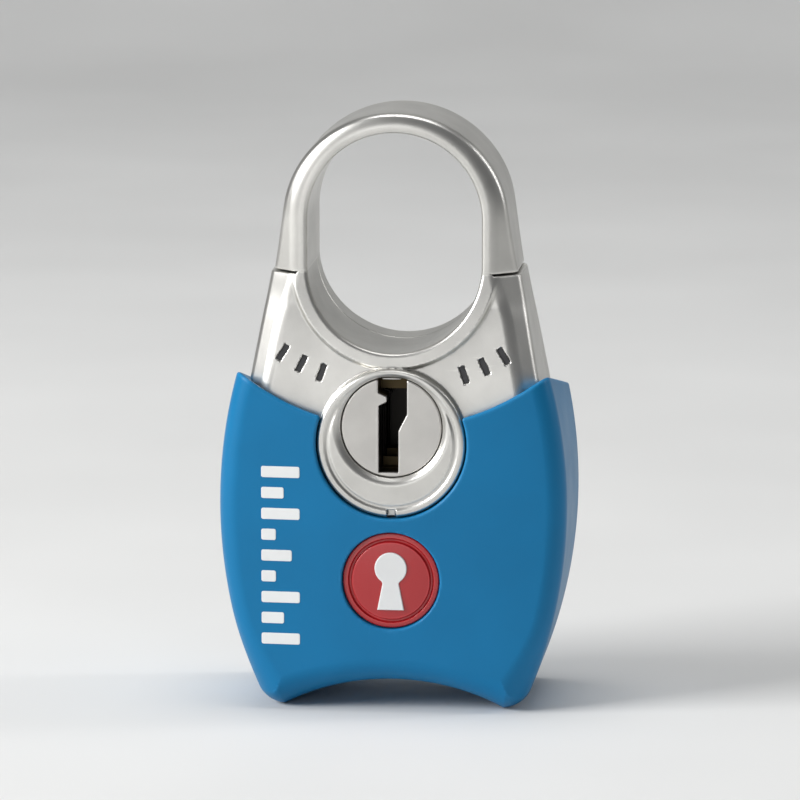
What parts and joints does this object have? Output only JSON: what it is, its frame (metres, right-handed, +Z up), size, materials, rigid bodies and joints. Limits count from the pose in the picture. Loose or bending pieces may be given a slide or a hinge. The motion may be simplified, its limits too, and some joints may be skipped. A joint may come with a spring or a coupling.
{
  "type": "luggage padlock",
  "caption": "Small keyed luggage padlock with a cast metal body, a blue clip-on jacket and a lifting arch shackle.",
  "frame": {"origin": "on the plane the two feet stand on, under the middle of the lock", "axes": "+X to the right seen from the front, -Y out of the front, +Z up towards the shackle"},
  "size_m": [0.026, 0.0136, 0.0447],
  "materials": {
    "satin_zinc": "satin nickel plate on cast zinc",
    "satin_shackle": "satin nickel plate on steel",
    "blue_jacket": "satin moulded plastic",
    "steel": "zinc plated",
    "plug_zinc": "nickel plated",
    "brass": "stamped",
    "badge_red": "enamelled",
    "white_ink": "pad printed",
    "dark_ink": "paint filled"
  },
  "bodies": {
    "lock_body": {"body_casting": "satin_zinc", "rear_cover": "satin_zinc", "jacket": "blue_jacket", "case_screws": "steel", "heel_stop_pin": "steel", "shackle_spring": "steel", "bolt_spring": "steel", "badge": "badge_red", "badge_symbol": "white_ink", "side_print": "white_ink", "shoulder_marks": "dark_ink"},
    "shackle": {"shackle": "satin_shackle"},
    "bolt": {"lock_bolt": "steel"},
    "plug": {"key_plug": "plug_zinc", "plug_clip": "steel", "cam": "brass", "cam_screw": "steel", "wafer_springs": "steel"},
    "wafer_1": {"wafer_1": "brass"},
    "wafer_2": {"wafer_2": "brass"},
    "wafer_3": {"wafer_3": "brass"},
    "wafer_4": {"wafer_4": "brass"},
    "wafer_5": {"wafer_5": "brass"}
  },
  "joints": [
    {"name": "plug_turn", "type": "hinge", "parent": "lock_body", "child": "plug", "pos_m": [0, 0, 0.0215], "axis": [0, 1, 0], "range_deg": [0, 90]},
    {"name": "bolt_slide", "type": "slide", "parent": "lock_body", "child": "bolt", "axis": [-1, 0, 0], "range_m": [0, 0.00301], "deforming": ["bolt_spring"]},
    {"name": "shackle_lift", "type": "slide", "parent": "lock_body", "child": "shackle", "axis": [0, 0, 1], "range_m": [0, 0.0065], "deforming": ["shackle_spring"]},
    {"name": "wafer_1_drop", "type": "slide", "parent": "plug", "child": "wafer_1", "axis": [0, 0, 1], "range_m": [-0.0005, 0], "stiffness_N_per_m": 10, "springref_m": -0.001, "deforming": ["wafer_springs"]},
    {"name": "wafer_2_drop", "type": "slide", "parent": "plug", "child": "wafer_2", "axis": [0, 0, 1], "range_m": [-0.0005, 0], "stiffness_N_per_m": 10, "springref_m": -0.001, "deforming": ["wafer_springs"]},
    {"name": "wafer_3_drop", "type": "slide", "parent": "plug", "child": "wafer_3", "axis": [0, 0, 1], "range_m": [-0.0005, 0], "stiffness_N_per_m": 10, "springref_m": -0.001, "deforming": ["wafer_springs"]},
    {"name": "wafer_4_drop", "type": "slide", "parent": "plug", "child": "wafer_4", "axis": [0, 0, 1], "range_m": [-0.0005, 0], "stiffness_N_per_m": 10, "springref_m": -0.001, "deforming": ["wafer_springs"]},
    {"name": "wafer_5_drop", "type": "slide", "parent": "plug", "child": "wafer_5", "axis": [0, 0, 1], "range_m": [-0.0005, 0], "stiffness_N_per_m": 10, "springref_m": -0.001, "deforming": ["wafer_springs"]}
  ],
  "couplings": [
    {"joint": "bolt_slide", "follows": "shackle_lift", "ratio": 0.46154},
    {"joint": "plug_turn", "follows": "shackle_lift", "rad_per_m": 241.66}
  ]
}
